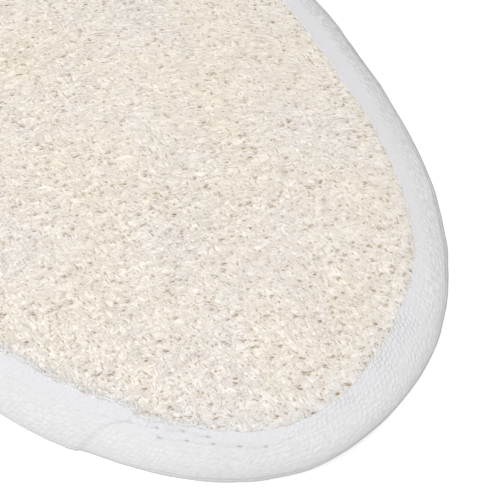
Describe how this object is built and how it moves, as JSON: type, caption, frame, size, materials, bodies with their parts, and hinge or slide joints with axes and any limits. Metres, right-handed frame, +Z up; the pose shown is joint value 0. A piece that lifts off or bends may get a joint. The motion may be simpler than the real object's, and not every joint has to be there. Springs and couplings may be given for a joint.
{
  "type": "loofah bath pad",
  "caption": "Oval bath scrubbing pad: a bulging natural loofah face, a terry cloth back and a folded cotton tape sewn round the edge.",
  "frame": {"origin": "under the middle of the pad's length and width, on the surface that its cloth back lies on", "axes": "+X along the pad's length towards its narrower end, +Y across it, +Z up out of the loofah face"},
  "size_m": [0.15, 0.1102, 0.0163],
  "materials": {
    "loofah": "matt felted plant fibre",
    "terry_cloth": "looped cotton pile",
    "cotton_tape": "matt cotton twill",
    "thread": "spun cotton thread"
  },
  "bodies": {
    "root": {"loofah_face": "loofah", "terry_back": "terry_cloth", "edge_tape": "cotton_tape", "seam_thread_front": "thread", "seam_thread_back": "thread"}
  },
  "joints": []
}
